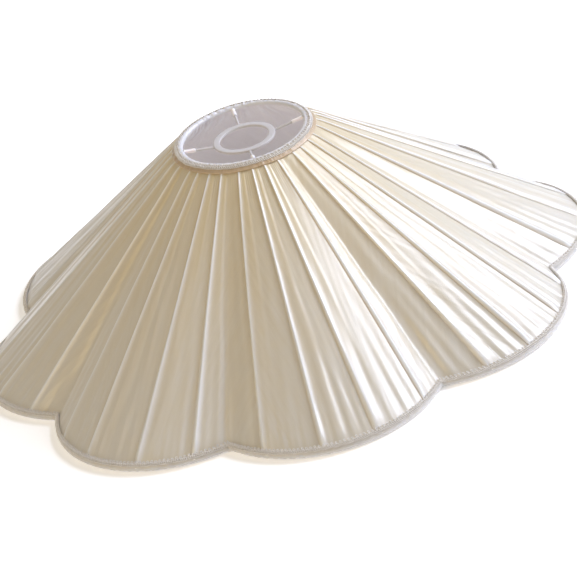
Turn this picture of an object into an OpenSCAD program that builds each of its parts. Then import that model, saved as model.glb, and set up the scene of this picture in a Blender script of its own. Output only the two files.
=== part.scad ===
// Scalloped, hand-pleated lamp shade: a welded wire frame with a washer fitter,
// bound with tape, lined inside, covered with pleated satin, and edged with trim.
// The origin is the centre of the fitter bore, and +Z points up, out of the top.

/* [Frame] */
// Radius from the axis to a lobe tip, at the centre of the bottom wire
tip_r = 250; // [240:1:265]
// Radius from the axis to the notch between two lobes, at the centre of the wire
valley_r = 218; // [208:0.5:222]
// Radius of the top ring, at the centre of its wire
top_r = 51; // [45:0.5:60]
// Length from the top ring to a lobe tip, along the slope
slant = 250; // [242:1:280]
// Diameter of the two rings' wire
ring_wire_d = 2.4; // [2.2:0.1:3]
// Diameter of the struts' wire
strut_wire_d = 2.2; // [1.8:0.1:2.6]

/* [Fitter] */
// Diameter of the hole that the lamp holder passes through
bore_d = 40; // [28:0.5:42]
// Outer diameter of the flat washer
washer_d = 50; // [46:0.5:56]
// Thickness of the washer
washer_t = 2; // [1.5:0.1:3]
// Diameter of the four arms' wire
arm_wire_d = 2; // [1.8:0.1:2.4]
// Height of the top ring's centre above the middle of the washer
fitter_drop = 3.4; // [2.8:0.1:3.6]

/* [Fabric] */
// Thickness of the tape wound round the wires
tape_t = 0.3; // [0.2:0.1:0.5]
// Thickness of the lining
lining_t = 0.4; // [0.3:0.1:0.6]
// Thickness of the cover between two folds, where it is one layer
cover_t = 0.8; // [0.6:0.1:1]
// Height that a fold adds to the cover at the top edge
fold_rise_top = 0.4; // [0.3:0.1:0.6]
// Height that a fold adds to the cover at the bottom edge
fold_rise_bottom = 1; // [0.6:0.1:1.2]
// Folds on each lobe
folds_per_lobe = 4; // [3:1:5]

/* [Trim] */
// Thickness of the satin binding
binding_t = 0.6; // [0.5:0.1:0.8]
// Width of the top binding on the outside
top_binding_w = 8; // [6:0.5:10]
// Width of the bottom binding on the outside
bottom_binding_w = 7; // [6:0.5:10]
// Thickness of the looped braid
braid_t = 1; // [0.8:0.1:1.2]
// Width of the looped braid
braid_w = 4; // [3:0.5:6]

/* [Hidden] */
$fn = 48;

lobes = 8;
arms = 4;
half_lobe = 180 / lobes;            // degrees from a lobe's tip to its notch
ring_z = fitter_drop;
hem_z = ring_z - sqrt(pow(slant, 2) - pow(tip_r - top_r, 2));
ring_wire_r = ring_wire_d / 2;
strut_wire_r = strut_wire_d / 2;
arm_wire_r = arm_wire_d / 2;

// A lobe's edge is one arc through its two notches and its tip
arc_centre = (pow(tip_r, 2) - pow(valley_r, 2)) / (2 * (tip_r - valley_r * cos(half_lobe)));
arc_r = tip_r - arc_centre;
arc_half = atan2(valley_r * sin(half_lobe), valley_r * cos(half_lobe) - arc_centre);

gap = 0.15;                         // clearance between layers of cloth
taped_r = ring_wire_r + tape_t;
cover_in = taped_r + gap;           // offsets from the surface through the wires
lining_out = -taped_r - gap;
lining_in = lining_out - lining_t;
edge_past_wire = 1;                 // how far cover and lining run past a wire
arm_low_z = -0.5;                   // an arm's height where it meets the washer's edge
arm_run = top_r - washer_d / 2;
arm_tilt = atan2(ring_z - arm_low_z, arm_run);
arm_length = norm([arm_run, ring_z - arm_low_z]);
neatener_t = 1;
neatener_start = arm_length - 11;
neatener_end = arm_length - 6.5;
lining_top = 2.6;                   // the lining starts just under the arms
sector_r = 400;                     // longer than any part's radius
mitre_extra = 4;                    // degrees that an arc runs on before it is mitred
weld_zone = 20;                     // length of strut that is cut away at a joint

columns = 20;                       // columns of points on one lobe, for trim and lining
lobes_per_half = lobes / 2;
cover_rows = 7;
lining_rows = 5;

// ---- The surface through the wires -------------------------------------------------

// Radius of a lobe's edge at lobe angle b, which runs from -half_lobe to half_lobe
function hem_radius(b) = arc_centre * cos(b) + sqrt(pow(arc_r, 2) - pow(arc_centre * sin(b), 2));
function unit(v) = v / norm(v);

// Top and bottom ends of the straight line that lies in the cover at lobe angle b
function top_point(b) = [top_r * cos(b), top_r * sin(b), ring_z];
function hem_point(b) = [hem_radius(b) * cos(b), hem_radius(b) * sin(b), hem_z];
function down_slope(b) = unit(hem_point(b) - top_point(b));
function slope_length(b) = norm(hem_point(b) - top_point(b));

// Direction of a lobe's edge at lobe angle b, and its change for each radian of b
function hem_tangent(b) =
    let (p = hem_point(b) - [arc_centre, 0, hem_z]) unit([-p[1], p[0], 0]);
function hem_speed(b) =
    let (t = hem_tangent(b), around = [-sin(b), cos(b), 0])
    hem_radius(b) / (t * around) * t;

// Outward normal at lobe angle b, at fraction s of the way down
function normal_at(b, s) =
    let (across = (1 - s) * top_r * [-sin(b), cos(b), 0] + s * hem_speed(b))
    unit(cross(down_slope(b), across));

// Offset direction: the normal, or at a notch its mitre, which stays in the notch plane
function offset_dir(b, s) =
    abs(abs(b) - half_lobe) > 0.01 ? normal_at(b, s)
    : let (side = [-sin(b), cos(b), 0], w = unit(cross(down_slope(b), side)))
      w / (w * normal_at(b, s));

// Point at lobe angle b, distance d down the slope from the top, offset v outwards
function cloth_point(b, d, v) =
    top_point(b) + d * down_slope(b) + v * offset_dir(b, min(1, max(0, d / slope_length(b))));

function turn(p, a) = [p[0] * cos(a) - p[1] * sin(a), p[0] * sin(a) + p[1] * cos(a), p[2]];

// ---- Closed shells between two faces of points -------------------------------------

// Outer and inner grids, each a list of columns of points, become one closed solid
module shell(outer, inner) {
    n = len(outer);
    m = len(outer[0]);
    points = concat([for (c = outer) each c], [for (c = inner) each c]);
    at = function (i, j, k) k * n * m + i * m + j;
    skin = [
        for (i = [0 : n - 2], j = [0 : m - 2]) each [
            [at(i, j, 0), at(i, j + 1, 0), at(i + 1, j + 1, 0)],
            [at(i, j, 0), at(i + 1, j + 1, 0), at(i + 1, j, 0)],
            [at(i, j, 1), at(i + 1, j + 1, 1), at(i, j + 1, 1)],
            [at(i, j, 1), at(i + 1, j, 1), at(i + 1, j + 1, 1)]
        ]
    ];
    ends = [
        for (j = [0 : m - 2]) each [
            [at(0, j, 0), at(0, j, 1), at(0, j + 1, 1)],
            [at(0, j, 0), at(0, j + 1, 1), at(0, j + 1, 0)],
            [at(n - 1, j, 0), at(n - 1, j + 1, 1), at(n - 1, j, 1)],
            [at(n - 1, j, 0), at(n - 1, j + 1, 0), at(n - 1, j + 1, 1)]
        ]
    ];
    rims = [
        for (i = [0 : n - 2]) each [
            [at(i, 0, 0), at(i + 1, 0, 1), at(i, 0, 1)],
            [at(i, 0, 0), at(i + 1, 0, 0), at(i + 1, 0, 1)],
            [at(i, m - 1, 0), at(i, m - 1, 1), at(i + 1, m - 1, 1)],
            [at(i, m - 1, 0), at(i + 1, m - 1, 1), at(i + 1, m - 1, 0)]
        ]
    ];
    polyhedron(points, concat(skin, ends, rims));
}

// A closed outline of [distance past the wire, offset] pairs, swept round the whole hem
module hem_loop(outline) {
    m = len(outline);
    steps = lobes * columns;
    points = [
        for (i = [0 : steps - 1])
            let (a = i * 360 / steps - half_lobe, k = floor((i + 0.5) / columns),
                 b = a - k * 2 * half_lobe)
            for (q = outline) turn(cloth_point(b, slope_length(b) + q[0], q[1]), k * 2 * half_lobe)
    ];
    faces = [
        for (i = [0 : steps - 1], j = [0 : m - 1])
            let (i2 = (i + 1) % steps, j2 = (j + 1) % m) each [
                [i * m + j, i2 * m + j, i2 * m + j2],
                [i * m + j, i2 * m + j2, i * m + j2]
            ]
    ];
    polyhedron(points, faces);
}

// ---- Frame --------------------------------------------------------------------------

module ring_torus(r) {
    translate([0, 0, ring_z])
        rotate_extrude($fn = 96)
            translate([top_r, 0])
                circle(r);
}

// The sector of space that holds lobe k
module lobe_sector(k) {
    rotate(k * 2 * half_lobe)
        translate([0, 0, hem_z - 2 * taped_r])
            linear_extrude(4 * taped_r)
                polygon([
                    [0, 0],
                    [sector_r, -sector_r * tan(half_lobe)],
                    [sector_r, sector_r * tan(half_lobe)]
                ]);
}

// A section swept along lobe k's edge and mitred at the notches
module along_hem(k, r_out, r_in) {
    intersection() {
        rotate(k * 2 * half_lobe)
            translate([arc_centre, 0, hem_z])
                rotate(-arc_half - mitre_extra)
                    rotate_extrude(angle = 2 * (arc_half + mitre_extra), $fn = 96)
                        translate([arc_r, 0])
                            difference() {
                                circle(r_out);
                                if (r_in > 0) circle(r_in);
                            }
        lobe_sector(k);
    }
}

// A rod from the top ring to the notch between lobes k - 1 and k
module along_strut(k, r, from, to) {
    angle = atan2(valley_r - top_r, ring_z - hem_z);
    rotate((2 * k - 1) * half_lobe)
        translate([top_r, 0, ring_z])
            rotate([0, 180 - angle, 0])
                translate([0, 0, from])
                    cylinder(h = to - from, r = r);
}

strut_length = slope_length(half_lobe);

module top_ring() {
    color("white") ring_torus(ring_wire_r);
}

module fitter_ring() {
    color("white")
        difference() {
            translate([0, 0, -washer_t / 2])
                cylinder(h = washer_t, d = washer_d, $fn = 96);
            translate([0, 0, -washer_t])
                cylinder(h = 2 * washer_t, d = bore_d, $fn = 96);
        }
}

// A rod along arm k, between two distances out from the washer's edge
module arm_rod(k, r, from, to) {
    rotate((k - 1) * 360 / arms)
        translate([washer_d / 2, 0, arm_low_z])
            rotate([0, 90 - arm_tilt, 0])
                translate([0, 0, from])
                    cylinder(h = to - from, r = r);
}

module fitter_arm(k) {
    color("white")
        difference() {
            arm_rod(k, arm_wire_r, -1, arm_length);
            translate([0, 0, -2 * washer_t])
                cylinder(h = 4 * washer_t, d = washer_d, $fn = 96);
            ring_torus(ring_wire_r);
        }
}

module strut(k) {
    color("white")
        difference() {
            along_strut(k, strut_wire_r, 0, strut_length);
            ring_torus(ring_wire_r);
            along_hem(k - 1, ring_wire_r, 0);
            along_hem(k, ring_wire_r, 0);
        }
}

module scallop_wire(k) {
    color("white") along_hem(k - 1, ring_wire_r, 0);
}

// ---- Tape, lining and neateners -----------------------------------------------------

module top_ring_tape() {
    color("ivory")
        difference() {
            ring_torus(taped_r);
            ring_torus(ring_wire_r);
            for (k = [1 : arms]) arm_rod(k, arm_wire_r, -1, arm_length);
            for (k = [1 : lobes]) along_strut(k, strut_wire_r, 0, weld_zone);
        }
}

module strut_tapes() {
    tape_from = taped_r + 1;
    tape_to = strut_length - 2 * taped_r - 1;
    color("ivory")
        for (k = [1 : lobes])
            difference() {
                along_strut(k, strut_wire_r + tape_t, tape_from, tape_to);
                along_strut(k, strut_wire_r, tape_from - 1, tape_to + 1);
            }
}

module scallop_wire_tapes() {
    color("ivory")
        for (k = [0 : lobes - 1])
            difference() {
                along_hem(k, taped_r, ring_wire_r);
                along_strut(k, strut_wire_r, strut_length - weld_zone, strut_length);
                along_strut(k + 1, strut_wire_r, strut_length - weld_zone, strut_length);
            }
}

// One face of the lining over four lobes, starting at lobe k, at offset v
function lining_at(k, v) = [
    for (i = [0 : lobes_per_half * columns])
        let (q = min(lobes_per_half - 1, floor(i / columns)),
             b = (i / columns - q) * 2 * half_lobe - half_lobe)
        [
            for (j = [0 : lining_rows - 1])
                let (d = lining_top
                         + (slope_length(b) + edge_past_wire - lining_top) * j / (lining_rows - 1))
                turn(cloth_point(b, d, v), (k + q) * 2 * half_lobe)
        ]
];

module lining_half(k) {
    first = lobes_per_half * (k - 1);
    color("lavenderblush")
        shell(lining_at(first, lining_out), lining_at(first, lining_in));
}

module arm_neatener(k) {
    color("lavenderblush")
        difference() {
            arm_rod(k, arm_wire_r + neatener_t, neatener_start, neatener_end);
            arm_rod(k, arm_wire_r, neatener_start - 1, neatener_end + 1);
        }
}

// ---- Pleated cover ------------------------------------------------------------------

fold_shift = 0.5;                   // place of a lobe's first fold, in folds
fold_edge = 0.06;                   // width of a fold's steep side, in folds
fold_layers = 0.4;                  // width of a fold's three layers, in folds

// Height of the pleats at place x, counted in folds, from 0 to 1
function pleat(x) =
    let (f = x - floor(x))
    f < fold_edge ? f / fold_edge
    : f < fold_layers ? 1 - 0.35 * (f - fold_edge) / (fold_layers - fold_edge)
    : 0.65 * (1 - f) / (1 - fold_layers);

// Places across a lobe, in folds, where the pleated face has a crease
cover_places = concat(
    [0],
    [
        for (k = [0 : folds_per_lobe - 1], f = [0, fold_edge, fold_layers, (1 + fold_layers) / 2])
            if (k + f + fold_shift < folds_per_lobe - 0.02) k + f + fold_shift
    ],
    [folds_per_lobe]
);

function cover_at(k, outside) = [
    for (x = cover_places)
        let (b = (x / folds_per_lobe * 2 - 1) * half_lobe,
             length = slope_length(b) + 2 * edge_past_wire,
             inner_place = x > 0 && x < folds_per_lobe)
        [
            for (j = [0 : cover_rows - 1])
                let (s = j / (cover_rows - 1),
                     rise = fold_rise_top + (fold_rise_bottom - fold_rise_top) * s,
                     fold = inner_place ? rise * pleat(x - fold_shift) : 0,
                     v = cover_in + (outside ? cover_t + fold : 0))
                turn(cloth_point(b, s * length - edge_past_wire, v), k * 2 * half_lobe)
        ]
];

module cover_panel(k) {
    color("ivory")
        shell(cover_at(k - 1, true), cover_at(k - 1, false));
}

// ---- Trim ---------------------------------------------------------------------------

rolled_w = 3;                       // part of each binding's width that rolls round its wire
inner_flap_w = 4.5;                 // width of the bottom binding on the inside
wrap_in = taped_r + 0.5;            // reach of the bindings past the middle of a wire
wrap_out = wrap_in + binding_t;
mean_slope = (atan2(ring_z - hem_z, tip_r - top_r) + atan2(ring_z - hem_z, valley_r - top_r)) / 2;
top_band_in = cover_in + cover_t + fold_rise_top + 0.55;    // clears slopes off the mean
top_band_out = top_band_in + binding_t;
top_band_end = top_binding_w - rolled_w;

// Folded satin strip over the top ring, longer on the outside
module top_binding() {
    color("ivory")
        translate([0, 0, ring_z])
            rotate_extrude($fn = 96)
                translate([top_r, 0])
                    rotate(-mean_slope)
                        polygon([
                            [top_band_end, top_band_in],
                            [-edge_past_wire - 0.2, top_band_in],
                            [-wrap_in, taped_r],
                            [-wrap_in, -0.8],
                            [-wrap_out, -0.8],
                            [-wrap_out, taped_r + 0.2],
                            [-edge_past_wire - 0.8, top_band_out - 0.2],
                            [-edge_past_wire, top_band_out],
                            [top_band_end, top_band_out]
                        ]);
}

// Looped braid round the outside of the top binding
module top_braid() {
    color("floralwhite")
        translate([0, 0, ring_z])
            rotate_extrude($fn = 96)
                translate([top_r, 0])
                    rotate(-mean_slope)
                        translate([top_band_end - braid_w, top_band_out])
                            square([braid_w, braid_t]);
}

hem_band_in = cover_in + cover_t + fold_rise_bottom + 0.1;
hem_band_out = hem_band_in + binding_t;
hem_band_start = rolled_w - bottom_binding_w;
hem_flap_out = lining_in - gap;
hem_flap_in = hem_flap_out - binding_t;

// Folded satin strip round the whole scalloped edge
module bottom_binding() {
    color("ivory")
        hem_loop([
            [hem_band_start, hem_band_out],
            [hem_band_start, hem_band_in],
            [1.3, hem_band_in],
            [wrap_in, hem_band_in - 1.2],
            [wrap_in, hem_flap_out + 0.8],
            [1.5, hem_flap_out],
            [-inner_flap_w, hem_flap_out],
            [-inner_flap_w, hem_flap_in],
            [1.8, hem_flap_in],
            [wrap_out, hem_flap_in + 1],
            [wrap_out, hem_band_out - 1.4],
            [1.6, hem_band_out]
        ]);
}

// Looped braid on the cover, against the binding's upper edge
module bottom_braid() {
    color("floralwhite")
        hem_loop([
            [hem_band_start - gap, hem_band_in + braid_t],
            [hem_band_start - gap - braid_w, hem_band_in + braid_t],
            [hem_band_start - gap - braid_w, hem_band_in],
            [hem_band_start - gap, hem_band_in]
        ]);
}

top_ring();
fitter_ring();
for (k = [1 : arms]) {
    fitter_arm(k);
    arm_neatener(k);
}
for (k = [1 : lobes]) {
    strut(k);
    scallop_wire(k);
    cover_panel(k);
}
top_ring_tape();
strut_tapes();
scallop_wire_tapes();
lining_half(1);  // lining_half_1
lining_half(2);  // lining_half_2
top_binding();
top_braid();
bottom_binding();
bottom_braid();
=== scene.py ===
"""Looks of the scalloped, hand-pleated lamp shade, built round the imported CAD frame.

Everything is in metres. The origin is the centre of the fitter bore and +Z is up.
All cloth follows the surface through the frame's wires, on which straight lines run
down from the top ring to the scalloped hem. A place on it has an azimuth, a distance
down the slope from the top ring, and an offset outwards.
"""

import bpy
import numpy as np
from mathutils import Matrix, Vector


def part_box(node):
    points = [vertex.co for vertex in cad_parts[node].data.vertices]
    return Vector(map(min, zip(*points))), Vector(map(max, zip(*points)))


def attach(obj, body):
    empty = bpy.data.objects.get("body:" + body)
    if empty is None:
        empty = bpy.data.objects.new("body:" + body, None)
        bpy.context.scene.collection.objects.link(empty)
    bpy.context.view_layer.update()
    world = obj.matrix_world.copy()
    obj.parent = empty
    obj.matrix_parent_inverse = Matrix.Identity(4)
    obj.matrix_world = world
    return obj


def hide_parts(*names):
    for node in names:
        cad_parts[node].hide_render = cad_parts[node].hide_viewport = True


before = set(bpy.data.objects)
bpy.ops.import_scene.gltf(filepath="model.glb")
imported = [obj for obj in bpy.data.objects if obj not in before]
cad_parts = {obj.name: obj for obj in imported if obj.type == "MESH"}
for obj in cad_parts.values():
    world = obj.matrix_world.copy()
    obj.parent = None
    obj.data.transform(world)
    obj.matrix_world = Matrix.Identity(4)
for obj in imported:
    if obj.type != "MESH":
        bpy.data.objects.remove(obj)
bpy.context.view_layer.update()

MM = 0.001
TAU = 2 * np.pi
rng = np.random.default_rng(11)


# ---- Dimensions, read from the frame ----------------------------------------------------

def node_points(name):
    return np.array([v.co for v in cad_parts[name].data.vertices])


def count_nodes(prefix):
    return sum(name.startswith(prefix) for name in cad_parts)


lobes = count_nodes("cover_panel_")
arms = count_nodes("fitter_arm_")
half_lobe = np.pi / lobes

low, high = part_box("top_ring")
ring_wire_r = (high.z - low.z) / 2
ring_z = (high.z + low.z) / 2
top_r = high.x - ring_wire_r

low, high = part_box("scallop_wire_1")
hem_z = (high.z + low.z) / 2
tip_r = high.x - ring_wire_r
wire = node_points("scallop_wire_1")
at_notch = np.abs(np.arctan2(wire[:, 1], wire[:, 0]) - half_lobe) < 1e-4
notch_radii = np.hypot(wire[at_notch, 0], wire[at_notch, 1])
valley_r = (notch_radii.min() + notch_radii.max()) / 2

low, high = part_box("top_ring_tape")
taped_r = (high.z - low.z) / 2
across_strut = np.array([-np.sin(half_lobe), np.cos(half_lobe), 0])
strut_r = (node_points("strut_1") @ across_strut).max()

low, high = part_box("fitter_ring")
washer_r = high.x
washer_t = high.z - low.z
washer = node_points("fitter_ring")
bore_r = np.hypot(washer[:, 0], washer[:, 1]).min()

low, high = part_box("fitter_arm_1")
arm_wire_r = (high.y - low.y) / 2
arm = node_points("fitter_arm_1")
inner_end = arm[arm[:, 0] < (low.x + high.x) / 2, 2]
arm_low_z = (inner_end.min() + inner_end.max()) / 2
arm_length = np.hypot(top_r - washer_r, ring_z - arm_low_z)

low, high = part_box("arm_neatener_1")
neatener_start = low.x - washer_r
neatener_end = high.x - washer_r
floor_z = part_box("bottom_binding")[0].z

# A lobe's edge is one arc through its two notches and its tip.
arc_centre = (tip_r**2 - valley_r**2) / (2 * (tip_r - valley_r * np.cos(half_lobe)))
arc_r = tip_r - arc_centre
notch_swing = np.arctan2(valley_r * np.sin(half_lobe), valley_r * np.cos(half_lobe) - arc_centre)

NOTCH_SOFTNESS = 2.5 * MM  # how far cloth rounds off the sharp notch between two lobes


# ---- The surface that the cloth follows -------------------------------------------------

def wire_and_bridge(azimuth):
    """Distance from the axis to the hem wire, and how far cloth bridges a notch outside it."""
    lobe_angle = np.abs(azimuth - 2 * half_lobe * np.round(azimuth / (2 * half_lobe)))

    def arc(angle):
        under_root = np.maximum(0, arc_r**2 - (arc_centre * np.sin(angle)) ** 2)
        return arc_centre * np.cos(angle) + np.sqrt(under_root)

    own = arc(lobe_angle)
    neighbour = arc(2 * half_lobe - lobe_angle)
    return own, NOTCH_SOFTNESS * np.log1p(np.exp((neighbour - own) / NOTCH_SOFTNESS))


def hem_radius(azimuth):
    """Distance from the axis to the hem, with the notches rounded as cloth does."""
    wire, bridge = wire_and_bridge(azimuth)
    return wire + bridge


def ruling(azimuth):
    """Both ends of the straight line down the slope: on the top ring and on the hem."""
    across, along = np.cos(azimuth), np.sin(azimuth)
    level = np.ones_like(azimuth)
    radius = hem_radius(azimuth)
    top = np.stack([top_r * across, top_r * along, ring_z * level], -1)
    hem = np.stack([radius * across, radius * along, hem_z * level], -1)
    return top, hem


def slope_length(azimuth):
    top, hem = ruling(azimuth)
    return np.linalg.norm(hem - top, axis=-1)


SLOPE_RISE = (ring_z - hem_z) / slope_length(np.array(half_lobe))  # at a notch


def bridge_drop(azimuth):
    """How far inwards a notch's wire lies from the cloth that bridges it."""
    return wire_and_bridge(azimuth)[1] * SLOPE_RISE


def unit(vectors):
    return vectors / np.linalg.norm(vectors, axis=-1, keepdims=True)


def place_and_normal(azimuth, distance, offset):
    azimuth, distance, offset = np.broadcast_arrays(azimuth, distance, offset)
    top, hem = ruling(azimuth)
    length = np.linalg.norm(hem - top, axis=-1)
    down = (hem - top) / length[..., None]
    step = 1e-4
    top_ahead, hem_ahead = ruling(azimuth + step)
    top_behind, hem_behind = ruling(azimuth - step)
    s = np.clip(distance / length, 0, 1)[..., None]
    across = (1 - s) * (top_ahead - top_behind) + s * (hem_ahead - hem_behind)
    normal = unit(np.cross(down, across))
    return top + distance[..., None] * down + offset[..., None] * normal, normal


def place(azimuth, distance, offset):
    return place_and_normal(azimuth, distance, offset)[0]


# ---- Small helpers ----------------------------------------------------------------------

def smoothstep(x):
    x = np.clip(x, 0, 1)
    return x * x * (3 - 2 * x)


def ripples(fewest, most, terms=7):
    """A smooth random function from about -1 to 1, with whole waves in each unit."""
    counts = rng.integers(fewest, most + 1, terms)
    phases = rng.uniform(0, TAU, terms)
    weights = rng.uniform(0.5, 1, terms)
    weights /= np.sqrt((weights**2).sum())
    return lambda x: sum(w * np.sin(TAU * n * x + p) for w, n, p in zip(weights, counts, phases))


def smooth_curve(points, count):
    """Points along a smooth curve through the given ones."""
    points = np.asarray(points, float)
    start = 2 * points[0] - points[1]
    end = 2 * points[-1] - points[-2]
    p = np.vstack([start, points, end])
    t = np.linspace(0, len(points) - 1, count)
    i = np.minimum(t.astype(int), len(points) - 2)
    f = (t - i)[:, None]
    before, here, after, beyond = p[i], p[i + 1], p[i + 2], p[i + 3]
    return 0.5 * (
        2 * here
        + (after - before) * f
        + (2 * before - 5 * here + 4 * after - beyond) * f**2
        + (3 * here - before - 3 * after + beyond) * f**3
    )


def grid_faces(rows, columns, wrap_rows=False, wrap_columns=False):
    """Faces of a grid of points, counted along columns first."""
    i = np.arange(rows if wrap_rows else rows - 1)[:, None]
    j = np.arange(columns if wrap_columns else columns - 1)[None, :]
    i_next = (i + 1) % rows
    j_next = (j + 1) % columns
    corners = [
        i * columns + j, i * columns + j_next, i_next * columns + j_next, i_next * columns + j,
    ]
    return np.stack(np.broadcast_arrays(*corners), -1).reshape(-1, 4)


def grid_part(points, wrap_rows=False, wrap_columns=False):
    rows, columns = points.shape[:2]
    return points.reshape(-1, 3), grid_faces(rows, columns, wrap_rows, wrap_columns)


def join_parts(parts):
    vertices, faces, start = [], [], 0
    for part_vertices, part_faces in parts:
        vertices.append(part_vertices)
        faces.append(part_faces + start)
        start += len(part_vertices)
    return np.concatenate(vertices), np.concatenate(faces)


def make_piece(name, part, material, replaced=()):
    """A smooth mesh object from vertices and four-sided faces, riding on the one body."""
    vertices, faces = part
    mesh = bpy.data.meshes.new(name)
    mesh.vertices.add(len(vertices))
    mesh.vertices.foreach_set("co", vertices.astype(np.float32).ravel())
    mesh.loops.add(faces.size)
    mesh.loops.foreach_set("vertex_index", faces.astype(np.int32).ravel())
    mesh.polygons.add(len(faces))
    mesh.polygons.foreach_set("loop_start", np.arange(0, faces.size, 4, dtype=np.int32))
    mesh.update(calc_edges=True)
    mesh.shade_smooth()
    mesh.materials.append(material)
    piece = bpy.data.objects.new(name, mesh)
    bpy.context.scene.collection.objects.link(piece)
    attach(piece, "root")
    if replaced:
        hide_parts(*replaced)
    return piece


def add_cloth_map(piece, points):
    """A UV map in metres, so that weave keeps its real size: u across, v down the cloth."""
    across = np.linalg.norm(np.diff(points, axis=0), axis=-1).cumsum(0)
    down = np.linalg.norm(np.diff(points, axis=1), axis=-1).cumsum(1)
    u = np.zeros(points.shape[:2])
    v = np.zeros(points.shape[:2])
    u[1:] = across
    v[:, 1:] = down
    u -= u[len(u) // 2]
    uv = np.stack([u, v], -1).reshape(-1, 2)
    loops = np.zeros(len(piece.data.loops), np.int32)
    piece.data.loops.foreach_get("vertex_index", loops)
    layer = piece.data.uv_layers.new(name="cloth")
    layer.data.foreach_set("uv", uv[loops].astype(np.float32).ravel())


def add_attribute(piece, name, values):
    attribute = piece.data.attributes.new(name, "FLOAT", "POINT")
    attribute.data.foreach_set("value", np.asarray(values, np.float32).ravel())


def thicken(piece, thickness):
    """Gives cloth its thickness, half on each side."""
    solid = piece.modifiers.new("cloth_thickness", "SOLIDIFY")
    solid.thickness = thickness
    solid.offset = 0


def tube(path, up, radius, sides=6, closed=False):
    """A tube along a path. up is a vector at each point, roughly square to the path."""
    if closed:
        along = np.roll(path, -1, 0) - np.roll(path, 1, 0)
    else:
        along = np.gradient(path, axis=0)
    along = unit(along)
    side = unit(np.cross(along, up))
    up = np.cross(side, along)
    angle = np.arange(sides) * TAU / sides
    radius = np.broadcast_to(radius, len(path))[:, None, None]
    ring = side[:, None] * np.cos(angle)[:, None] + up[:, None] * np.sin(angle)[:, None]
    return grid_part(path[:, None] + radius * ring, wrap_rows=closed, wrap_columns=True)


def capsule(start, end, up, radius, sides=6):
    """A short rod with rounded ends, such as a stitch or a weld bead."""
    t = np.linspace(-1, 1, 7)
    path = (start + end) / 2 + t[:, None] * (end - start) / 2
    swell = radius * np.sqrt(np.maximum(0.02, 1 - t**4))
    return tube(path, np.broadcast_to(up, path.shape), swell, sides)


# ---- Materials --------------------------------------------------------------------------

class Shader:
    """A Principled material, built up one node at a time."""

    def __init__(self, name, **constants):
        self.material = bpy.data.materials.new(name)
        self.material.use_nodes = True
        self.tree = self.material.node_tree
        self.principled = self.tree.nodes["Principled BSDF"]
        for socket, value in constants.items():
            self.principled.inputs[socket.replace("_", " ")].default_value = value

    def node(self, kind, inputs=(), **settings):
        made = self.tree.nodes.new(kind)
        for key, value in settings.items():
            setattr(made, key, value)
        for socket, value in dict(inputs).items():
            if isinstance(value, bpy.types.NodeSocket):
                self.tree.links.new(value, made.inputs[socket])
            else:
                made.inputs[socket].default_value = value
        return made

    def link(self, socket, source):
        self.tree.links.new(source, self.principled.inputs[socket])

    def cloth_place(self):
        """Place on the cloth in metres, from its UV map."""
        return self.node("ShaderNodeUVMap", uv_map="cloth").outputs["UV"]

    def solid_place(self):
        """Place in the shade's own space in metres, for pieces with no cloth map."""
        return self.node("ShaderNodeTexCoord").outputs["Object"]

    def noise(self, place, grain, detail=2):
        """Noise whose grain has these sizes in metres along each axis."""
        scale = [1 / size for size in grain]
        mapped = self.node("ShaderNodeMapping", {"Vector": place, "Scale": scale})
        inputs = {"Vector": mapped.outputs["Vector"], "Scale": 1, "Detail": detail}
        return self.node("ShaderNodeTexNoise", inputs).outputs["Fac"]

    def spread(self, value, low, high, to_low=0.0, to_high=1.0):
        inputs = {
            "Value": value, "From Min": low, "From Max": high, "To Min": to_low, "To Max": to_high,
        }
        return self.node("ShaderNodeMapRange", inputs).outputs["Result"]

    def attribute(self, name):
        return self.node("ShaderNodeAttribute", attribute_name=name).outputs["Fac"]

    def blend(self, factor, first, second, kind="MIX"):
        mixer = self.node("ShaderNodeMix", data_type="RGBA", blend_type=kind)
        factor_socket, first_socket, second_socket = (mixer.inputs[i] for i in (0, 6, 7))
        if isinstance(factor, bpy.types.NodeSocket):
            self.tree.links.new(factor, factor_socket)
        else:
            factor_socket.default_value = factor
        for socket, colour in ((first_socket, first), (second_socket, second)):
            if isinstance(colour, bpy.types.NodeSocket):
                self.tree.links.new(colour, socket)
            else:
                socket.default_value = (*colour, 1)
        return mixer.outputs[2]

    def bumps(self, layers):
        """Bump from (height, depth in metres, strength) layers, coarse to fine."""
        normal = None
        for height, depth, strength in layers:
            inputs = {"Height": height, "Distance": depth, "Strength": strength}
            if normal is not None:
                inputs["Normal"] = normal
            normal = self.node("ShaderNodeBump", inputs).outputs["Normal"]
        self.link("Normal", normal)


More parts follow.
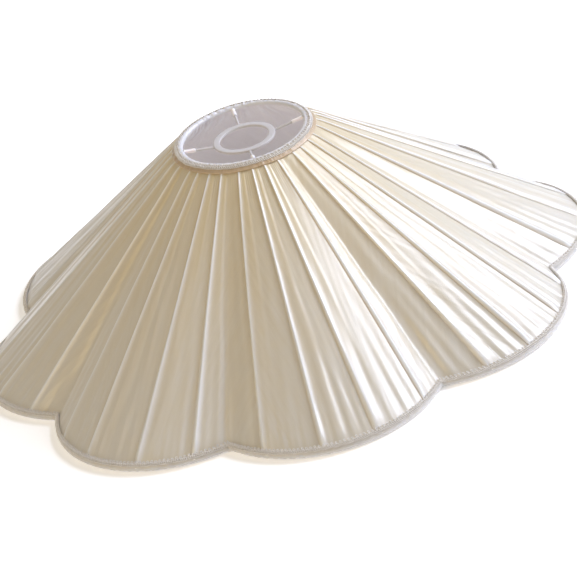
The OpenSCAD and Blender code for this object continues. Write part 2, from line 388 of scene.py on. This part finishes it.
def satin(name, plain, gold_tone_and_shade, edge, rough):
    """Satin: long floats down the slope, with painted warm shade where light would come through many
    layers, and painted highlights.
    """
    shader = Shader(
        name,
        Anisotropic=0.55,
        Anisotropic_Rotation=0.25,
        Sheen_Weight=0.35,
        Sheen_Roughness=0.45,
        Specular_IOR_Level=0.75,
        Subsurface_Weight=0.45,
        Subsurface_Scale=3.0 * MM,
        Subsurface_Radius=(1.0, 0.8, 0.55),
    )
    cloth = shader.cloth_place()
    streaks = shader.noise(cloth, (5 * MM, 90 * MM, 1))
    cloudy = shader.noise(cloth, (35 * MM, 60 * MM, 1))
    slubs = shader.noise(cloth, (0.35 * MM, 14 * MM, 1), detail=1)
    # Painted warm shade, standing in for light let through the cloth's layers.
    colour = shader.blend(shader.attribute("gold_tone_and_shade"), plain, gold_tone_and_shade)
    shade = shader.spread(streaks, 0.3, 0.7, 0.0, 0.10)
    colour = shader.blend(shade, colour, tuple(0.7 * c for c in gold_tone_and_shade))
    colour = shader.blend(shader.spread(cloudy, 0.35, 0.7, 0.0, 0.14), colour, gold_tone_and_shade)
    colour = shader.blend(shader.spread(slubs, 0.55, 0.8, 0.0, 0.12), colour, edge)
    # Painted highlights along fold crests, on the lining's crumples and on the binding's roll; the
    # lining's cuffs use the same colour as their own paler tone.
    colour = shader.blend(shader.attribute("edge"), colour, edge)
    shader.link("Base Color", colour)
    shader.link("Roughness", shader.spread(streaks, 0.3, 0.7, rough - 0.04, rough + 0.05))
    tangent = shader.node("ShaderNodeTangent", direction_type="UV_MAP", uv_map="cloth")
    shader.link("Tangent", tangent.outputs[0])
    crumple = shader.noise(cloth, (4 * MM, 400 * MM, 1), detail=0)
    floats = shader.noise(cloth, (0.25 * MM, 2.5 * MM, 1), detail=1)
    picks = shader.noise(cloth, (1.2 * MM, 0.3 * MM, 1), detail=0)
    shader.bumps([(crumple, 0.4 * MM, 0.5), (floats, 0.06 * MM, 0.5), (picks, 0.04 * MM, 0.25)])
    return shader.material


def plain_weave(name, colour, shadow, rough, yarn=0.45 * MM):
    """Matte woven cotton with its two sets of yarns."""
    shader = Shader(name, Sheen_Weight=0.2, Sheen_Roughness=0.6, Specular_IOR_Level=0.3)
    cloth = shader.cloth_place()
    warp = shader.noise(cloth, (yarn, 6 * yarn, 1), detail=0)
    weft = shader.noise(cloth, (6 * yarn, yarn, 1), detail=0)
    dirt = shader.noise(cloth, (8 * MM, 20 * MM, 1), detail=3)
    shader.link("Base Color", shader.blend(shader.spread(dirt, 0.3, 0.75), colour, shadow))
    shader.link("Roughness", shader.spread(warp, 0.2, 0.8, rough - 0.05, rough + 0.05))
    shader.bumps([(warp, 0.12 * MM, 0.6), (weft, 0.12 * MM, 0.6)])
    return shader.material


def twisted_thread(name, colour, shadow, rough):
    """Shiny viscose thread: fine twist marks, with painted shade between the twists and in larger random
    patches.
    """
    shader = Shader(name, Sheen_Weight=0.4, Sheen_Roughness=0.5, Specular_IOR_Level=0.5)
    solid = shader.solid_place()
    twist = shader.noise(solid, (0.35 * MM, 0.35 * MM, 0.22 * MM), detail=1)
    patches = shader.noise(solid, (6 * MM, 6 * MM, 6 * MM))
    # Painted shade between the twists, and in larger random patches.
    shade = shader.blend(shader.spread(twist, 0.35, 0.7), shadow, colour)
    shader.link("Base Color", shader.blend(shader.spread(patches, 0.3, 0.8, 0.0, 0.3), shade, shadow))
    shader.link("Roughness", shader.spread(twist, 0.2, 0.8, rough - 0.08, rough + 0.08))
    shader.bumps([(twist, 0.15 * MM, 0.7)])
    return shader.material


def enamel(name, colour, worn, rough):
    """Stove-enamelled steel: faint orange peel, and dull where it has rubbed."""
    shader = Shader(name, Coat_Weight=0.25, Coat_Roughness=0.25, Specular_IOR_Level=0.5)
    solid = shader.solid_place()
    peel = shader.noise(solid, (1.2 * MM, 1.2 * MM, 1.2 * MM), detail=2)
    rubbed = shader.noise(solid, (4 * MM, 4 * MM, 2.5 * MM), detail=5)
    shader.link("Base Color", shader.blend(shader.spread(rubbed, 0.56, 0.72, 0.0, 0.6), colour, worn))
    shader.link("Roughness", shader.spread(rubbed, 0.4, 0.7, rough, rough + 0.22))
    shader.bumps([(peel, 0.05 * MM, 0.4), (rubbed, 0.03 * MM, 0.3)])
    return shader.material


# Each satin's second colour is its painted warm shade, golden brown on the binding; the third is its
# painted highlight, and also the paler tone of its slubs and of the lining's cuffs.
cover_satin = satin("cover_satin", (0.77, 0.71, 0.60), (0.76, 0.55, 0.26), (0.98, 0.95, 0.89), 0.34)
lining_satin = satin("lining_satin", (0.78, 0.70, 0.69), (0.76, 0.68, 0.64), (0.88, 0.84, 0.85), 0.36)
binding_satin = satin("binding_satin", (0.66, 0.63, 0.59), (0.49, 0.35, 0.22), (0.84, 0.80, 0.80), 0.38)
braid_thread = twisted_thread("braid_thread", (0.93, 0.91, 0.89), (0.50, 0.46, 0.40), 0.5)
sewing_thread = twisted_thread("sewing_thread", (0.88, 0.83, 0.74), (0.70, 0.62, 0.50), 0.55)
cotton_tape = plain_weave("cotton_tape", (0.86, 0.82, 0.74), (0.74, 0.68, 0.56), 0.8)
white_enamel = enamel("white_enamel", (0.56, 0.54, 0.54), (0.48, 0.46, 0.45), 0.32)


# ---- Frame ------------------------------------------------------------------------------

FRAME_WIRES = ["top_ring"]
FRAME_WIRES += [f"fitter_arm_{k}" for k in range(1, arms + 1)]
FRAME_WIRES += [f"strut_{k}" for k in range(1, lobes + 1)]
FRAME_WIRES += [f"scallop_wire_{k}" for k in range(1, lobes + 1)]


def finish_wires():
    for name in FRAME_WIRES:
        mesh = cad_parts[name].data
        mesh.materials.clear()
        mesh.materials.append(white_enamel)
        mesh.shade_smooth()
        mesh.set_sharp_from_angle(angle=np.radians(40))


def make_washer():
    """The flat fitter ring, turned with slightly rounded corners."""
    corner = 0.35 * MM
    corners = [
        (washer_r - corner, washer_t / 2 - corner, 0),
        (bore_r + corner, washer_t / 2 - corner, 90),
        (bore_r + corner, corner - washer_t / 2, 180),
        (washer_r - corner, corner - washer_t / 2, 270),
    ]
    outline = []
    for radius, height, start in corners:
        for angle in np.radians(start + np.linspace(0, 90, 5)):
            outline.append((radius + corner * np.cos(angle), height + corner * np.sin(angle)))
    outline = np.array(outline)
    turn = np.arange(160)[:, None] * TAU / 160
    points = np.stack(
        [outline[:, 0] * np.cos(turn), outline[:, 0] * np.sin(turn), outline[:, 1] + 0 * turn], -1
    )
    return make_piece(
        "fitter_washer", grid_part(points, True, True), white_enamel, ["fitter_ring"]
    )


def arm_directions(k):
    """Where arm k leaves the washer's edge, its direction, and the two directions across it."""
    azimuth = (k - 1) * TAU / arms
    out = np.array([np.cos(azimuth), np.sin(azimuth), 0])
    side = np.array([-np.sin(azimuth), np.cos(azimuth), 0])
    start = washer_r * out + np.array([0, 0, arm_low_z])
    along = unit(top_r * out + np.array([0, 0, ring_z]) - start)
    return start, along, side, np.cross(along, side)


def make_weld_beads():
    """A small bead on both sides of each arm, where its end meets the washer's edge."""
    bead_r = 0.45 * MM
    beads = []
    for k in range(1, arms + 1):
        start, along, side, up = arm_directions(k)
        for sign in (-1, 1):
            corner = start + sign * side * (arm_wire_r + 0.1 * MM)
            radius = bead_r * rng.uniform(0.85, 1.1)
            beads.append(capsule(corner, corner + 0.8 * MM * along, up, radius, 8))
    return make_piece("weld_beads", join_parts(beads), white_enamel)


# ---- Tape wound round the wires ---------------------------------------------------------

TAPE_W = 10 * MM
TAPE_PITCH = 7.5 * MM


def wound_tape(path, up, inner_r):
    """A strip of tape wound along a path, each turn lying over the edge of the last."""
    steps = np.linalg.norm(np.diff(path, axis=0), axis=-1)
    reach = np.concatenate([[0], steps.cumsum()])
    turns = (reach[-1] - TAPE_W) / TAPE_PITCH
    angle = np.linspace(0, turns * TAU, int(turns * 18))[:, None]
    width = np.linspace(0, 1, 6)[None, :]
    position = TAPE_PITCH * angle / TAU + TAPE_W * width
    along = unit(np.gradient(path, axis=0))
    side = unit(np.cross(along, up))
    over = np.cross(side, along)

    def on_path(values):
        return np.stack([np.interp(position, reach, values[:, c]) for c in range(3)], -1)

    radius = inner_r + 0.12 * MM + 0.3 * MM * (1 - width) ** 2
    ring = on_path(side) * np.cos(angle)[..., None] + on_path(over) * np.sin(angle)[..., None]
    points = on_path(path) + radius[..., None] * ring
    strip_length = turns * np.hypot(TAU * (inner_r + 0.2 * MM), TAPE_PITCH)
    return points, strip_length


def make_tape(node, windings):
    """One piece from several windings, its cloth map laid out as the strip that they were cut from."""
    part = join_parts([grid_part(points) for points, _ in windings])
    piece = make_piece("wound_" + node, part, cotton_tape, [node])
    layer = piece.data.uv_layers.new(name="cloth")
    maps = []
    for points, strip_length in windings:
        u, v = np.meshgrid(
            np.linspace(0, strip_length, points.shape[0]), np.linspace(0, TAPE_W, points.shape[1]),
            indexing="ij",
        )
        maps.append(np.stack([v, u], -1).reshape(-1, 2))
    loops = np.zeros(len(piece.data.loops), np.int32)
    piece.data.loops.foreach_get("vertex_index", loops)
    layer.data.foreach_set("uv", np.concatenate(maps)[loops].astype(np.float32).ravel())
    return piece


def make_tapes():
    around = np.linspace(0, TAU, 241)
    ring = np.stack([top_r * np.cos(around), top_r * np.sin(around), ring_z + 0 * around], -1)
    flat_up = np.broadcast_to([0.0, 0.0, 1.0], ring.shape)
    make_tape("top_ring_tape", [wound_tape(ring, flat_up, ring_wire_r)])
    strut_windings, hem_windings = [], []
    strut_length = np.hypot(valley_r - top_r, ring_z - hem_z)
    for k in range(lobes):
        azimuth = (2 * k + 1) * half_lobe
        out = np.array([np.cos(azimuth), np.sin(azimuth), 0])
        start = top_r * out + [0, 0, ring_z]
        end = valley_r * out + [0, 0, hem_z]
        t = np.linspace(2.5 * MM, strut_length - 3.5 * MM, 60)[:, None] / strut_length
        strut = start + t * (end - start)
        up = np.broadcast_to([0.0, 0.0, 1.0], strut.shape)
        strut_windings.append(wound_tape(strut, up, strut_r))
        angle = np.linspace(0.03 - notch_swing, notch_swing - 0.03, 120)
        x = arc_centre + arc_r * np.cos(angle)
        y = arc_r * np.sin(angle)
        turn = 2 * k * half_lobe
        scallop = np.stack(
            [x * np.cos(turn) - y * np.sin(turn), x * np.sin(turn) + y * np.cos(turn), hem_z + 0 * x], -1
        )
        up = np.broadcast_to([0.0, 0.0, 1.0], scallop.shape)
        hem_windings.append(wound_tape(scallop, up, ring_wire_r))
    make_tape("strut_tapes", strut_windings)
    make_tape("scallop_wire_tapes", hem_windings)


# ---- Pleated cover ----------------------------------------------------------------------

FOLDS = 4                  # folds in each panel
COVER_THICKNESS = 0.2 * MM
LAYER = 0.3 * MM           # from the middle of one layer of cloth to the next
COVER_BASE = taped_r + 0.3 * MM
COVER_ROWS = 60
EDGE_PAST_WIRE = 1 * MM

first_fold = 0.165         # place of a lobe's first fold, as a share of the lobe
fold_pitch = 0.228
fold_depth = 0.38          # width of a fold's three layers, in pitches
lobe_hem = 2 * arc_r * notch_swing
lobe_top = 2 * half_lobe * top_r

lips = first_fold + fold_pitch * (np.arange(FOLDS) + rng.uniform(-0.08, 0.08, (lobes, FOLDS)))
depths = fold_pitch * fold_depth * rng.uniform(0.9, 1.12, (lobes, FOLDS))
bows = rng.uniform(-1, 1, (lobes, FOLDS)) * 0.9 * MM


def fold_place(panel, fold, s, width):
    """Lip and depth of a fold at each row, as shares of the lobe that the panel starts in."""
    later = fold // FOLDS
    k, i = (panel + later) % lobes, fold % FOLDS
    lip = later + lips[k, i] + bows[k, i] * np.sin(np.pi * s) / width
    return lip, depths[k, i] * (1 + 0.08 * np.sin(TAU * s + 3 * i))


def cover_columns(panel, s, width):
    """The panel's cloth in section, from under its first fold to under the next panel's first.

    Each column holds its place across, its height, whether it is on a fold's raised layers
    (1) or on the single layer between folds (0), and how much painted highlight it gets along a fold's
        crest."""
    crest = (1.55 + 0.85 * s**1.2) * MM
    roll = (0.70 + 2.4 * s**1.2) * MM
    ridge = (0.9 + 2.1 * s) * MM
    step = (1.6 + 6.0 * s) * MM / width
    level = np.zeros_like(s)
    columns = []
    for fold in range(FOLDS):
        lip, depth = fold_place(panel, fold, s, width)
        next_lip, next_depth = fold_place(panel, fold + 1, s, width)
        centre = lip + roll / width
        inner = lip + depth
        for u in np.linspace(1, 0, 5)[:-1]:
            columns.append((centre + (inner - centre) * u, LAYER + level, 1, 0))
        # The lip rolls over; where it rises it gets painted highlight.
        for turn in np.linspace(-1, 1, 9) * np.pi / 2:
            under = roll * 0.04 * (1 + min(0, np.sin(turn)))
            risen = 1 - np.cos(max(0, turn))
            over = (crest - LAYER - roll * 0.04) * risen
            columns.append((centre - roll / width * np.cos(turn), LAYER + under + over, 1, risen))
        for q in np.linspace(0, 1, 16)[1:] ** 1.6:
            past_crest = q * (inner - centre) * width
            slope = (crest - 2 * LAYER) * np.exp(-((past_crest / ridge) ** 1.5))
            pillow = 0.25 * MM * s * np.sin(np.pi * q)
            # Painted highlight on the crest and down the flank past it, fading with distance.
            lit = np.exp(-past_crest / ((0.9 + 0.9 * s) * MM))
            columns.append((centre + (inner - centre) * q, 2 * LAYER + slope + pillow, 1, lit))
        for q in np.linspace(0, 1, 9)[1:]:
            fallen = 1 - smoothstep(q)
            columns.append((inner + step * q, 2 * LAYER * fallen + level, fallen, 0))
        flat_start = inner + step
        for q in np.linspace(0, 1, 18)[1:]:
            hollow = -0.25 * MM * s * np.sin(np.pi * q)
            columns.append((flat_start + (next_lip - flat_start) * q, hollow, 0, 0))
        for q in np.linspace(0, 1, 5)[1:]:
            columns.append((next_lip + next_depth * q, level, 0, 0))
        if fold < FOLDS - 1:
            for turn in np.radians([-50, 0, 50]):
                bend = LAYER / 2
                place_across = next_lip + next_depth + bend * np.cos(turn) / width
                columns.append((place_across, bend * (1 + np.sin(turn)) + level, 0, 0))
    return columns


def make_cover_panel(panel):
    s = np.linspace(0, 1, COVER_ROWS)
    width = lobe_top + (lobe_hem - lobe_top) * s
    columns = cover_columns(panel, s, width)
    level = np.zeros_like(s)
    across = np.array([c[0] for c in columns])
    height = np.array([c[1] for c in columns])
    raised = np.array([c[2] for c in columns])[:, None] + 0 * across
    edge = np.array([c[3] + level for c in columns])

    # Cloth pulled over the frame: long faint waves, and puckers that fan up from the hem.
    waves, bends, swells = ripples(4, 14), ripples(1, 3), ripples(1, 3)
    long_puckers, short_puckers = ripples(10, 22), ripples(26, 44)
    lean = across + 0.012 * bends(s)
    height += 0.32 * MM * s * waves(lean) * (1 + 0.6 * swells(s))
    height += 0.38 * MM * smoothstep((s - 0.50) / 0.50) * long_puckers(across)
    height += 0.15 * MM * smoothstep((s - 0.80) / 0.20) * short_puckers(across)
    height += 0.08 * MM * smoothstep((0.2 - s) / 0.2) * short_puckers(across)

    azimuth = (panel - 0.5 + across) * 2 * half_lobe
    length = slope_length(azimuth)
    distance = s * (length + 2 * EDGE_PAST_WIRE) - EDGE_PAST_WIRE
    pressed = 1 - 0.68 * smoothstep((distance - length + 12 * MM) / (9 * MM))
    pressed = pressed * (0.35 + 0.65 * smoothstep((distance - 6 * MM) / (8 * MM)))
    points = place(azimuth, distance, COVER_BASE + height * pressed)

    name = f"pleated_cover_{panel + 1}"
    piece = make_piece(name, grid_part(points), cover_satin, [f"cover_panel_{panel + 1}"])
    add_cloth_map(piece, points)
    # Painted warm shade, stronger towards the top ring and on the folds' raised layers, and painted
    # highlights along the fold crests.
    add_attribute(piece, "gold_tone_and_shade", (1 - 0.85 * s**0.7) * (0.75 + 0.25 * raised))
    add_attribute(piece, "edge", edge)
    thicken(piece, COVER_THICKNESS)

    return piece


# ---- Lining and neateners ---------------------------------------------------------------

LINING_THICKNESS = 0.2 * MM
LINING_OFFSET = -taped_r - 0.3 * MM


def wrap_over_ring():
    """Distances down from the ring, and offsets, where the lining is turned over its tape."""
    wrap_r = -LINING_OFFSET
    angle = np.radians(np.linspace(-55, 0, 7))
    return np.stack([wrap_r * np.sin(angle), -wrap_r * np.cos(angle)], -1)


def make_lining_half(half):
    first = half * np.pi - half_lobe
    azimuth = first + np.linspace(0, np.pi, 4 * 44 + 1)[:, None]
    wrap = wrap_over_ring()
    s = np.linspace(0, 1, 48)[1:][None, :]
    length = slope_length(azimuth)
    distance = np.concatenate(
        [np.broadcast_to(wrap[:, 0], (len(azimuth), len(wrap))), s * (length + EDGE_PAST_WIRE)], 1
    )
    share = np.clip(distance / length, 0, 1)
    turn = azimuth / TAU
    crumples, waves, sags = ripples(34, 60), ripples(14, 26), ripples(5, 11)
    leaning = turn + 0.010 * np.sin(3.1 * share + 8 * turn * TAU / 4)
    fold = 1.5 * MM * crumples(leaning) * np.exp(-((share - 0.06) / 0.10) ** 2)
    fold = fold + 0.45 * MM * waves(leaning) * np.exp(-((share - 0.22) / 0.25) ** 2)
    fold = fold + 0.5 * MM * sags(turn) * share * (1 - share) * 4
    fold = fold + 0.25 * MM * waves(turn + 0.3) * smoothstep((share - 0.8) / 0.2)
    settled = smoothstep(distance / (5 * MM))
    offset = np.full_like(distance, LINING_OFFSET)
    offset[:, : len(wrap)] = wrap[:, 1]
    offset = offset - settled * (0.3 * MM + np.abs(fold)) * (1 - 0.8 * smoothstep((share - 0.97) / 0.03))
    offset = offset - share * bridge_drop(azimuth)
    points = place(azimuth, distance, offset)

    name = f"silk_lining_{half + 1}"
    piece = make_piece(name, grid_part(points), lining_satin, [f"lining_half_{half + 1}"])
    add_cloth_map(piece, points)
    # Darker and warmer towards the hem, and painted highlights on the crumples near the ring.
    add_attribute(piece, "gold_tone_and_shade", smoothstep((share - 0.5) * 2) * 0.4)
    near_ring = np.exp(-((share - 0.04) / 0.06) ** 2)
    add_attribute(piece, "edge", 0.8 * near_ring * smoothstep(crumples(leaning)))
    thicken(piece, LINING_THICKNESS)
    return piece


def make_lining_seams():
    """The felled seam along the two struts where the lining's halves meet."""
    parts = []
    for half in range(2):
        azimuth = half * np.pi - half_lobe
        length = float(slope_length(np.array(azimuth)))
        distance = np.linspace(3 * MM, length - 3 * MM, 150)
        spread = np.linspace(-1, 1, 9)
        wobble = 0.25 * MM * ripples(6, 14)(distance / length)
        lean = (spread * 2.2 * MM)[None, :] / (top_r + (valley_r - top_r) * distance / length)[:, None]
        lift = 0.75 * MM * np.maximum(0, 1 - spread**4) ** 0.5
        offset = LINING_OFFSET - 0.55 * MM - lift[None, :] - 0.15 * wobble[:, None]
        parts.append(grid_part(place(azimuth + lean, distance[:, None], offset)))
    return make_piece("lining_seams", join_parts(parts), sewing_thread)


def make_neatener(k):
    """A small gathered cuff that hides the slit where an arm passes through the lining."""
    start, along, side, up = arm_directions(k)
    wire = arm_wire_r + 0.15 * MM
    end = arm_length - 2.1 * MM
    profile = smooth_curve(
        [
            (neatener_start + 0.6 * MM, wire), (neatener_start, wire + 0.2 * MM),
            (neatener_start + 0.6 * MM, wire + 0.5 * MM), (neatener_end, wire + 0.35 * MM),
            (end - 1 * MM, wire + 0.45 * MM), (end, wire + 0.7 * MM),
        ],
        26,
    )
    angle = np.arange(40) * TAU / 40
    gathers = 1 + 0.05 * np.sin(9 * angle + k) + 0.03 * np.sin(14 * angle)
    radius = profile[:, 1:2] * gathers
    points = (
        start
        + profile[:, 0, None, None] * along
        + (radius * np.cos(angle))[..., None] * side
        + (radius * np.sin(angle))[..., None] * up
    )
    name = f"neatener_cuff_{k}"
    piece = make_piece(
        name, grid_part(points, wrap_columns=True), lining_satin, [f"arm_neatener_{k}"]
    )
    add_cloth_map(piece, points)
    add_attribute(piece, "gold_tone_and_shade", np.zeros(points.shape[:2]))
    add_attribute(piece, "edge", np.full(points.shape[:2], 0.85))
    return piece


# ---- Bindings ---------------------------------------------------------------------------

def make_binding(name, profile, azimuth, at_hem, pucker, node, gold_tone_and_shade, roll_highlight):
    """A folded satin strip swept round the shade, with small puckers across it.

    The profile is in millimetres: distance past the ring or the hem, and offset. The last two
    arguments give the painted golden-brown shadow on the outer half and the painted highlight on the
    inward half."""
    profile = smooth_curve(np.array(profile) * MM, 30)
    azimuth = azimuth[:, None]
    turn = azimuth / TAU
    distance = profile[None, :, 0] + (slope_length(azimuth) if at_hem else 0)
    across = np.linspace(0, 1, len(profile))[None, :]
    fine, coarse = pucker
    lean = turn + 0.0012 * np.sin(6 * across)
    swell = 0.10 * MM * fine(lean) + 0.16 * MM * coarse(lean)
    swell = swell * np.sin(np.pi * np.clip(1.1 * across, 0, 1)) ** 0.5
    offset = profile[None, :, 1]
    if at_hem:
        inner_side = smoothstep(-offset / MM)
        offset = offset - inner_side * bridge_drop(azimuth)
    points, normal = place_and_normal(azimuth, distance, offset)
    outward = unit(np.cross(np.gradient(points, axis=0), np.gradient(points, axis=1)))
    if (outward[:, 0] * normal[:, 0]).sum() < 0:
        outward = -outward
    points = points + swell[..., None] * outward
    part = grid_part(points, wrap_rows=True)
    piece = make_piece(name, part, binding_satin, [node])
    add_cloth_map(piece, points)
    # Painted golden-brown shadow on the outer side, and a painted highlight on the roll that turns
    # inwards.
    add_attribute(piece, "gold_tone_and_shade", gold_tone_and_shade * (1 - smoothstep((across - 0.3) / 0.25)) + 0 * turn)
    add_attribute(piece, "edge", roll_highlight * smoothstep((across - 0.4) / 0.2) + 0 * turn)
    thicken(piece, 0.35 * MM)
    return piece


hem_table = np.linspace(0, TAU, 16001)
hem_steps = np.linalg.norm(np.diff(ruling(hem_table)[1], axis=0), axis=-1)
hem_reach = np.concatenate([[0], hem_steps.cumsum()])


def hem_azimuth(share):
    """Azimuth at this share of the way round the hem, in equal steps of length."""
    return np.interp(share * hem_reach[-1], hem_reach, hem_table)


def make_bindings():
    steps = 1280
    make_binding(
        "rolled_top_binding",
        [(7.2, 2.6), (6.9, 2.95), (4.5, 2.9), (2.0, 2.75), (0.4, 2.55), (-0.9, 2.0), (-1.75, 1.0),
         (-1.95, 0.0), (-1.7, -0.9), (-1.2, -1.4)],
        np.arange(720) * TAU / 720, False, (ripples(90, 150), ripples(30, 60)), "top_binding",
        1.0, 0.7,
    )
    make_binding(
        "rolled_bottom_binding",
        [(-3.5, 2.2), (-3.3, 2.8), (-2.0, 3.0), (-0.5, 2.95), (0.8, 2.5), (1.75, 1.6), (2.1, 0.4),
         (1.9, -0.9), (1.1, -1.95), (-0.5, -2.45), (-2.8, -2.6), (-4.5, -2.5)],
        hem_azimuth(np.arange(steps) / steps), True, (ripples(400, 520), ripples(120, 240)),
        "bottom_binding", 0.2, 0.2,
    )


# ---- Braid and stitches -----------------------------------------------------------------

BRAID_PITCH = 3.2 * MM


def braid_strands(loop_length, azimuth_at, base, at_hem):
    """Two cords that cross over and under, and a row of small loops along one edge.

    base is the distance from the hem or the ring to the braid's middle, and its offset."""
    repeats = int(round(loop_length / BRAID_PITCH))
    middle, floor = base
    parts = []

    def strand(steps, along, across, height, radius, sides):
        t = np.arange(repeats * steps) / steps
        azimuth = azimuth_at((t + along(t)) / repeats)
        start = slope_length(azimuth) if at_hem else 0
        path, normal = place_and_normal(azimuth, start + middle + across(t), floor + height(t))
        return tube(path, normal, radius, sides, closed=True)

    wander = ripples(repeats // 5, repeats // 2)
    for phase in (0, 0.5):
        parts.append(strand(
            10,
            lambda t: 0 * t,
            lambda t: 1.15 * MM * np.sin(TAU * (t + phase)) + 0.15 * MM * wander(t / repeats),
            lambda t: 0.50 * MM + 0.34 * MM * np.cos(TAU * (t + phase)),
            0.42 * MM, 5,
        ))
    parts.append(strand(
        12,
        lambda t: -0.42 * np.sin(TAU * t),
        lambda t: -1.6 * MM - 1.2 * MM * np.cos(TAU * t) + 0.25 * MM * wander(t / repeats + 0.5),
        lambda t: 0.50 * MM + 0.3 * MM * np.sin(TAU * t),
        0.36 * MM, 5,
    ))
    return parts


def make_braids():
    hem = braid_strands(hem_reach[-1], hem_azimuth, (-1.6 * MM, taped_r + 1.5 * MM), True)
    make_piece("bottom_gimp_braid", join_parts(hem), braid_thread, ["bottom_braid"])
    top = braid_strands(
        TAU * (top_r + 4 * MM), lambda share: share * TAU, (2.6 * MM, 2.75 * MM), False
    )
    make_piece("top_gimp_braid", join_parts(top), braid_thread, ["top_braid"])


def make_stitches():
    """Hand stitches that hold down the binding's edge on the inside."""
    spacing = 6 * MM
    count = int(hem_reach[-1] / spacing)
    parts = []
    for i in range(count):
        share = (i + 0.2 * rng.uniform(-1, 1)) / count
        lean = 0.5 * spacing / hem_reach[-1]
        azimuth = hem_azimuth(np.array([share, share + lean]) % 1)
        distance = slope_length(azimuth) - np.array([5.2, 3.6]) * MM
        ends, normal = place_and_normal(azimuth, distance, LINING_OFFSET - 0.95 * MM)
        parts.append(capsule(ends[0], ends[1], -normal[0], 0.22 * MM, 5))
    make_piece("hem_stitches", join_parts(parts), sewing_thread)


# ---- Build ------------------------------------------------------------------------------

finish_wires()
make_washer()
make_weld_beads()
make_tapes()
for panel in range(lobes):
    make_cover_panel(panel)
for half in range(2):
    make_lining_half(half)
make_lining_seams()
for k in range(1, arms + 1):
    make_neatener(k)
make_bindings()
make_braids()
make_stitches()


# ---- Floor, light and camera ------------------------------------------------------------

def make_floor():
    half = 6.0
    corners = [(x * half, y * half, floor_z) for x, y in ((-1, -1), (1, -1), (1, 1), (-1, 1))]
    mesh = bpy.data.meshes.new("floor")
    mesh.from_pydata(corners, [], [(0, 1, 2, 3)])
    floor = bpy.data.objects.new("floor", mesh)
    bpy.context.scene.collection.objects.link(floor)
    shader = Shader(
        "floor_paper",
        Roughness=0.9,
        Specular_IOR_Level=0.1,
        Base_Color=(0.97, 0.97, 0.97, 1),
        Emission_Color=(1, 1, 1, 1),
        Emission_Strength=0.25,
    )
    mesh.materials.append(shader.material)


def area_light(name, azimuth, elevation, distance, size, power, colour):
    """A soft square light that faces the shade from this direction, in degrees."""
    azimuth, elevation = np.radians(azimuth), np.radians(elevation)
    direction = Vector((
        np.cos(elevation) * np.cos(azimuth), np.cos(elevation) * np.sin(azimuth), np.sin(elevation)
    ))
    lamp = bpy.data.lights.new(name, "AREA")
    lamp.size = size
    lamp.energy = power
    lamp.color = colour
    light = bpy.data.objects.new(name, lamp)
    light.location = direction * distance
    light.rotation_euler = direction.to_track_quat("Z", "Y").to_euler()
    bpy.context.scene.collection.objects.link(light)


def inside_light(power):
    """Stands for the daylight that the cloth lets through to the inside."""
    lamp = bpy.data.lights.new("inside", "POINT")
    lamp.energy = power
    lamp.shadow_soft_size = 0.04
    light = bpy.data.objects.new("inside", lamp)
    light.location = (0, 0, hem_z / 2)
    light.visible_camera = False
    bpy.context.scene.collection.objects.link(light)


def make_world(strength):
    world = bpy.data.worlds.new("studio")
    world.use_nodes = True
    background = world.node_tree.nodes["Background"]
    background.inputs["Color"].default_value = (1.0, 0.985, 0.96, 1)
    background.inputs["Strength"].default_value = strength
    bpy.context.scene.world = world


def make_camera():
    """Looks down at the shade from the front, rolled as the photographer held it."""
    elevation, heading, roll = np.radians((27.10, -3.63, -14.83))
    distance = 2.776
    lens_in_widths = 6.0195
    pan, tilt = 0.0012, 0.0211
    location = np.array([0, -distance * np.cos(elevation), hem_z / 2 + distance * np.sin(elevation)])
    forward = np.array([0, np.cos(elevation), -np.sin(elevation)])
    right = np.array([1.0, 0, 0])
    rows = np.stack([right, np.cross(forward, right), forward])
    panned = np.array([[np.cos(pan), 0, -np.sin(pan)], [0, 1, 0], [np.sin(pan), 0, np.cos(pan)]])
    tilted = np.array([[1, 0, 0], [0, np.cos(tilt), -np.sin(tilt)], [0, np.sin(tilt), np.cos(tilt)]])
    rolled = np.array([[np.cos(roll), -np.sin(roll), 0], [np.sin(roll), np.cos(roll), 0], [0, 0, 1]])
    rows = rolled @ tilted @ panned @ rows
    turned = Matrix.Rotation(heading, 4, "Z")
    axes = Matrix([rows[0], -rows[1], -rows[2]]).transposed().to_4x4()
    data = bpy.data.cameras.new("camera")
    data.sensor_width = 36
    data.lens = lens_in_widths * data.sensor_width
    data.clip_end = 50
    camera = bpy.data.objects.new("camera", data)
    camera.matrix_world = turned @ Matrix.Translation(Vector(location)) @ axes
    bpy.context.scene.collection.objects.link(camera)
    bpy.context.scene.camera = camera


make_floor()
area_light("key", 6, 36, 2.4, 1.7, 77, (0.93, 0.98, 1.15))
area_light("fill", -140, 30, 2.6, 1.4, 20, (1.0, 0.74, 0.34))
inside_light(0.06)
make_world(0.35)
make_camera()
bpy.context.scene.view_settings.view_transform = "Standard"
